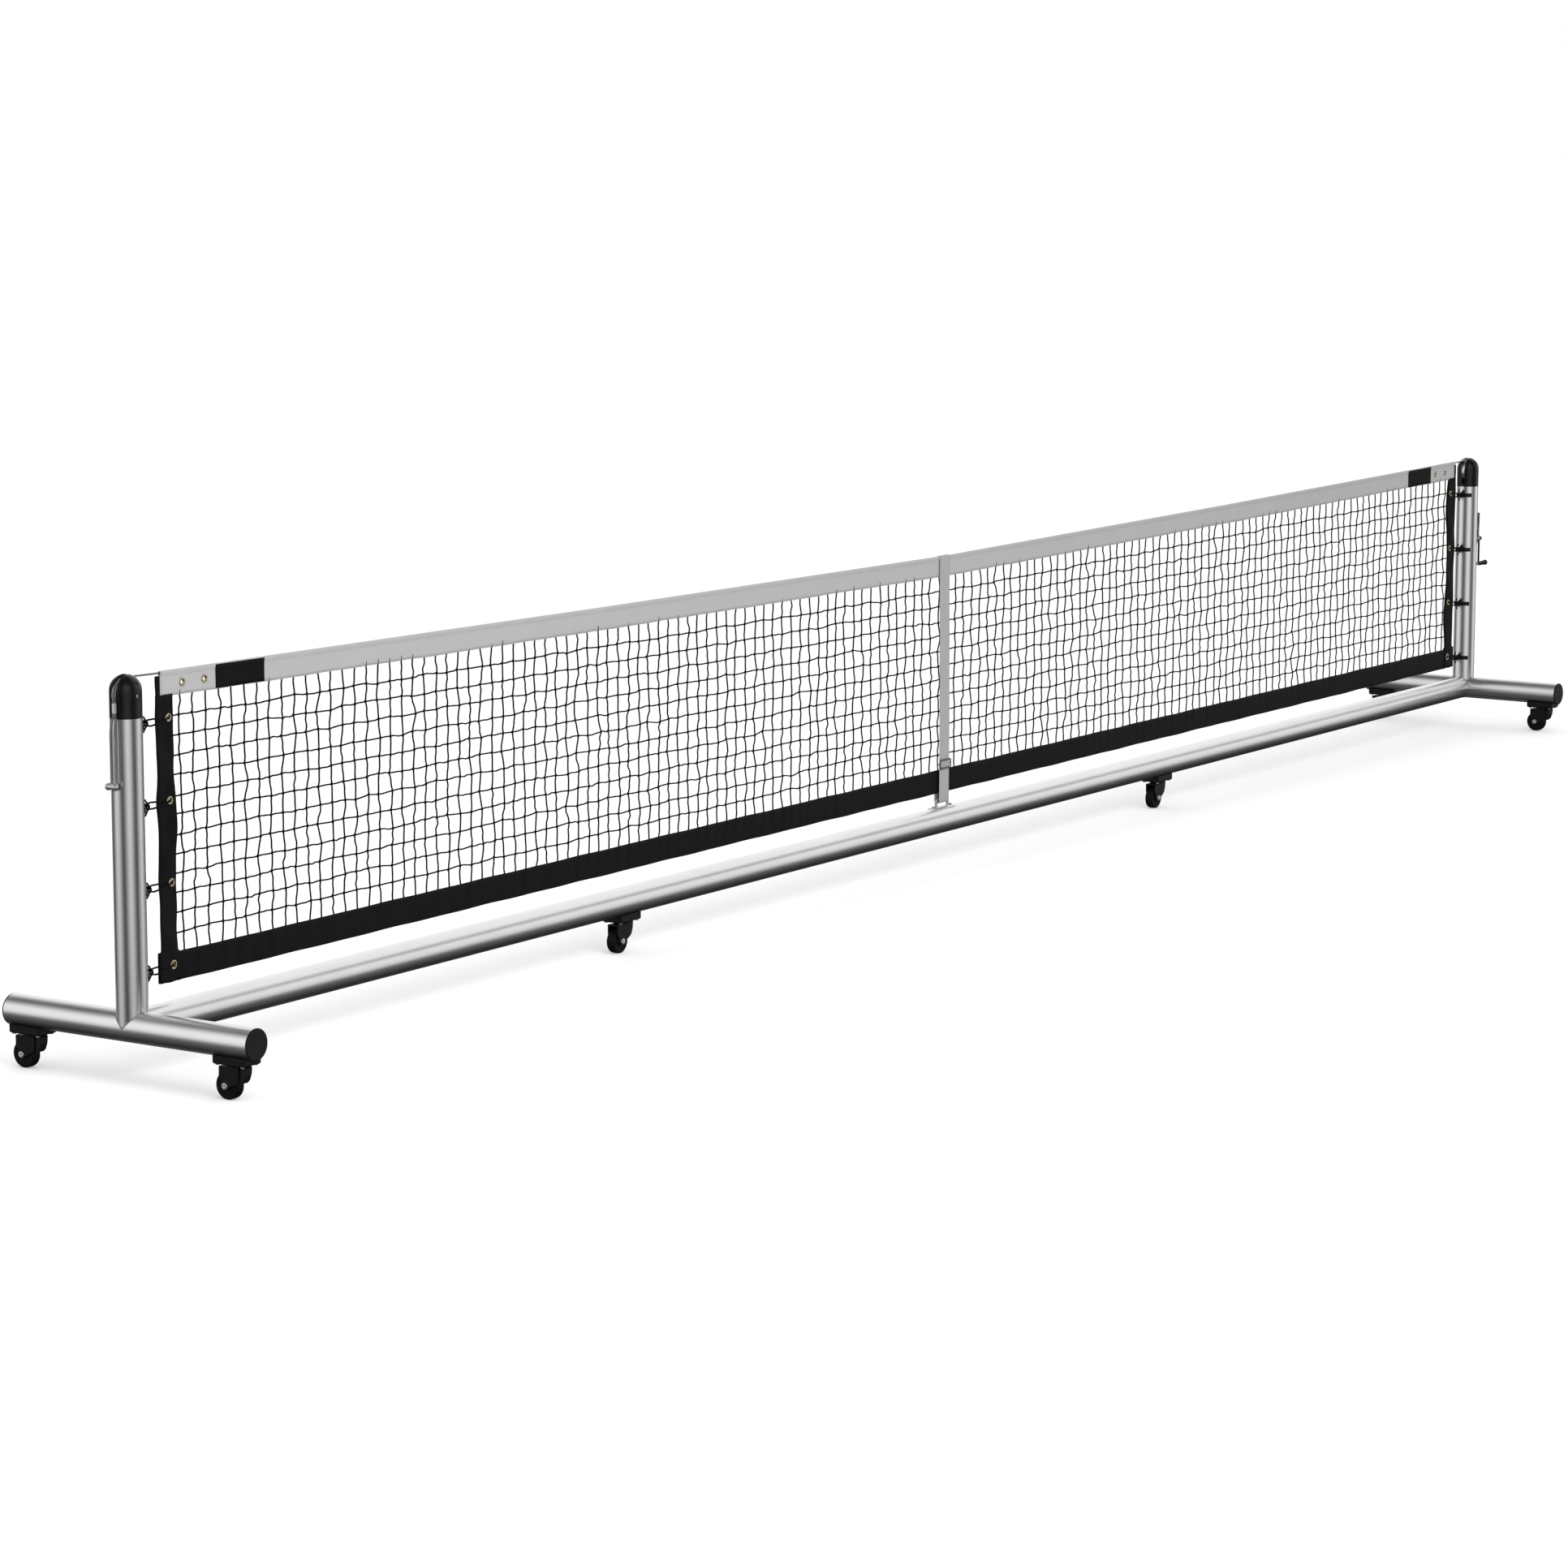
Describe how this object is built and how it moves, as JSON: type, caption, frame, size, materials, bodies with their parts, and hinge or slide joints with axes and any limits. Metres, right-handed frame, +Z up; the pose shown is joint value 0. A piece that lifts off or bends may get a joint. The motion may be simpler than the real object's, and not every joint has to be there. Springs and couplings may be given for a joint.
{
  "type": "portable rolling court net",
  "caption": "Free-standing court net on two wheeled posts joined by a low crossbar, with a winch-tightened headline cable and a centre strap.",
  "frame": {"origin": "on the floor, midway between the two posts, under the middle of the net", "axes": "+X along the net towards the post with the winch, +Z up, -Y towards the side on which the centre strap hangs"},
  "size_m": [7.0808, 0.717, 0.9205],
  "materials": {
    "tube_metal": "satin brushed tube",
    "cap_black": "satin black",
    "plug_black": "matte black",
    "zinc": "zinc plated",
    "sheave_metal": "turned",
    "cable_steel": "stranded wire",
    "headband_vinyl": "light grey coated fabric, stitched",
    "black_vinyl": "black coated fabric",
    "mesh_cord": "black knotted cord",
    "grommet_brass": "rolled brass",
    "tie_black": "black elastic cord",
    "strap_web": "light grey webbing",
    "winch_metal": "grey painted steel",
    "grip_black": "black moulded grip",
    "fork_black": "black painted steel",
    "wheel_black": "black moulded tread",
    "pedal_black": "matte black"
  },
  "bodies": {
    "frame": {"foot_tube_left": "tube_metal", "foot_tube_right": "tube_metal", "foot_end_caps": "plug_black", "post_left": "tube_metal", "post_right": "tube_metal", "crossbar_left": "tube_metal", "crossbar_right": "tube_metal", "crossbar_sleeve": "tube_metal", "frame_screws": "zinc", "post_cap_left": "cap_black", "post_cap_right": "cap_black", "pulley_pins": "zinc", "headline_cable": "cable_steel", "cable_ferrule": "sheave_metal", "headline_hook": "zinc", "headband": "headband_vinyl", "headband_patches": "black_vinyl", "side_bands": "black_vinyl", "net_mesh": "mesh_cord", "bottom_band": "black_vinyl", "band_grommets": "grommet_brass", "lacing_eyes": "fork_black", "tie_cords": "tie_black", "centre_strap": "strap_web", "strap_anchor": "zinc", "winch_frame": "winch_metal", "winch_bolts": "zinc", "caster_brackets": "fork_black", "caster_bolts": "zinc"},
    "pulley_left": {"pulley_left": "sheave_metal"},
    "pulley_right": {"pulley_right": "sheave_metal"},
    "strap_buckle": {"strap_buckle": "zinc"},
    "winch_reel": {"winch_shaft": "zinc", "winch_drum": "winch_metal", "ratchet_wheel": "winch_metal", "drum_cable": "cable_steel", "crank_arm": "winch_metal", "crank_nut": "zinc", "grip_pin": "zinc"},
    "crank_grip": {"crank_grip": "grip_black"},
    "pawl": {"pawl": "winch_metal"},
    "fork_front_left": {"caster_fork_front_left": "fork_black"},
    "wheel_front_left": {"caster_wheel_front_left": "wheel_black"},
    "pedal_front_left": {"brake_pedal_front_left": "pedal_black"},
    "fork_rear_left": {"caster_fork_rear_left": "fork_black"},
    "wheel_rear_left": {"caster_wheel_rear_left": "wheel_black"},
    "pedal_rear_left": {"brake_pedal_rear_left": "pedal_black"},
    "fork_mid_left": {"caster_fork_mid_left": "fork_black"},
    "wheel_mid_left": {"caster_wheel_mid_left": "wheel_black"},
    "pedal_mid_left": {"brake_pedal_mid_left": "pedal_black"},
    "fork_mid_right": {"caster_fork_mid_right": "fork_black"},
    "wheel_mid_right": {"caster_wheel_mid_right": "wheel_black"},
    "pedal_mid_right": {"brake_pedal_mid_right": "pedal_black"},
    "fork_front_right": {"caster_fork_front_right": "fork_black"},
    "wheel_front_right": {"caster_wheel_front_right": "wheel_black"},
    "pedal_front_right": {"brake_pedal_front_right": "pedal_black"},
    "fork_rear_right": {"caster_fork_rear_right": "fork_black"},
    "wheel_rear_right": {"caster_wheel_rear_right": "wheel_black"},
    "pedal_rear_right": {"brake_pedal_rear_right": "pedal_black"}
  },
  "joints": [
    {"name": "pulley_left_spin", "type": "hinge", "parent": "frame", "child": "pulley_left", "pos_m": [-3.44, 0, 0.8741], "axis": [0, 1, 0], "continuous": true},
    {"name": "crank_spin", "type": "hinge", "parent": "frame", "child": "winch_reel", "pos_m": [3.4975, -0.0097, 0.638], "axis": [1, 0, 0], "continuous": true},
    {"name": "pulley_right_spin", "type": "hinge", "parent": "frame", "child": "pulley_right", "pos_m": [3.44, 0, 0.8741], "axis": [0, 1, 0], "continuous": true},
    {"name": "grip_spin", "type": "hinge", "parent": "winch_reel", "child": "crank_grip", "pos_m": [3.55, -0.0097, 0.55], "axis": [1, 0, 0], "continuous": true},
    {"name": "pawl_pivot", "type": "hinge", "parent": "frame", "child": "pawl", "pos_m": [3.4975, -0.014, 0.668], "axis": [1, 0, 0], "range_deg": [-8, 17]},
    {"name": "buckle_slide", "type": "slide", "parent": "frame", "child": "strap_buckle", "axis": [0, 0, 1], "range_m": [-0.07, 0.3]},
    {"name": "swivel_front_left", "type": "hinge", "parent": "frame", "child": "fork_front_left", "pos_m": [-3.44, -0.299, 0.08], "axis": [0, 0, 1], "continuous": true},
    {"name": "roll_front_left", "type": "hinge", "parent": "fork_front_left", "child": "wheel_front_left", "pos_m": [-3.44, -0.279, 0.03175], "axis": [-1, 0, 0], "continuous": true},
    {"name": "brake_front_left", "type": "hinge", "parent": "fork_front_left", "child": "pedal_front_left", "pos_m": [-3.44, -0.312, 0.062], "axis": [1, 0, 0], "range_deg": [0, 15.5]},
    {"name": "swivel_rear_left", "type": "hinge", "parent": "frame", "child": "fork_rear_left", "pos_m": [-3.44, 0.299, 0.08], "axis": [0, 0, 1], "continuous": true},
    {"name": "roll_rear_left", "type": "hinge", "parent": "fork_rear_left", "child": "wheel_rear_left", "pos_m": [-3.44, 0.319, 0.03175], "axis": [-1, 0, 0], "continuous": true},
    {"name": "brake_rear_left", "type": "hinge", "parent": "fork_rear_left", "child": "pedal_rear_left", "pos_m": [-3.44, 0.286, 0.062], "axis": [1, 0, 0], "range_deg": [0, 15.5]},
    {"name": "swivel_mid_left", "type": "hinge", "parent": "frame", "child": "fork_mid_left", "pos_m": [-1.566, 0, 0.08], "axis": [0, 0, 1], "continuous": true},
    {"name": "roll_mid_left", "type": "hinge", "parent": "fork_mid_left", "child": "wheel_mid_left", "pos_m": [-1.586, 0, 0.03175], "axis": [0, -1, 0], "continuous": true},
    {"name": "brake_mid_left", "type": "hinge", "parent": "fork_mid_left", "child": "pedal_mid_left", "pos_m": [-1.553, 0, 0.062], "axis": [0, 1, 0], "range_deg": [0, 15.5]},
    {"name": "swivel_mid_right", "type": "hinge", "parent": "frame", "child": "fork_mid_right", "pos_m": [1.261, 0, 0.08], "axis": [0, 0, 1], "continuous": true},
    {"name": "roll_mid_right", "type": "hinge", "parent": "fork_mid_right", "child": "wheel_mid_right", "pos_m": [1.241, 0, 0.03175], "axis": [0, -1, 0], "continuous": true},
    {"name": "brake_mid_right", "type": "hinge", "parent": "fork_mid_right", "child": "pedal_mid_right", "pos_m": [1.274, 0, 0.062], "axis": [0, 1, 0], "range_deg": [0, 15.5]},
    {"name": "swivel_front_right", "type": "hinge", "parent": "frame", "child": "fork_front_right", "pos_m": [3.44, -0.299, 0.08], "axis": [0, 0, 1], "continuous": true},
    {"name": "roll_front_right", "type": "hinge", "parent": "fork_front_right", "child": "wheel_front_right", "pos_m": [3.44, -0.279, 0.03175], "axis": [-1, 0, 0], "continuous": true},
    {"name": "brake_front_right", "type": "hinge", "parent": "fork_front_right", "child": "pedal_front_right", "pos_m": [3.44, -0.312, 0.062], "axis": [1, 0, 0], "range_deg": [0, 15.5]},
    {"name": "swivel_rear_right", "type": "hinge", "parent": "frame", "child": "fork_rear_right", "pos_m": [3.44, 0.299, 0.08], "axis": [0, 0, 1], "continuous": true},
    {"name": "roll_rear_right", "type": "hinge", "parent": "fork_rear_right", "child": "wheel_rear_right", "pos_m": [3.44, 0.319, 0.03175], "axis": [-1, 0, 0], "continuous": true},
    {"name": "brake_rear_right", "type": "hinge", "parent": "fork_rear_right", "child": "pedal_rear_right", "pos_m": [3.44, 0.286, 0.062], "axis": [1, 0, 0], "range_deg": [0, 15.5]}
  ],
  "couplings": [
    {"joint": "pulley_right_spin", "follows": "crank_spin", "ratio": -0.2386}
  ]
}
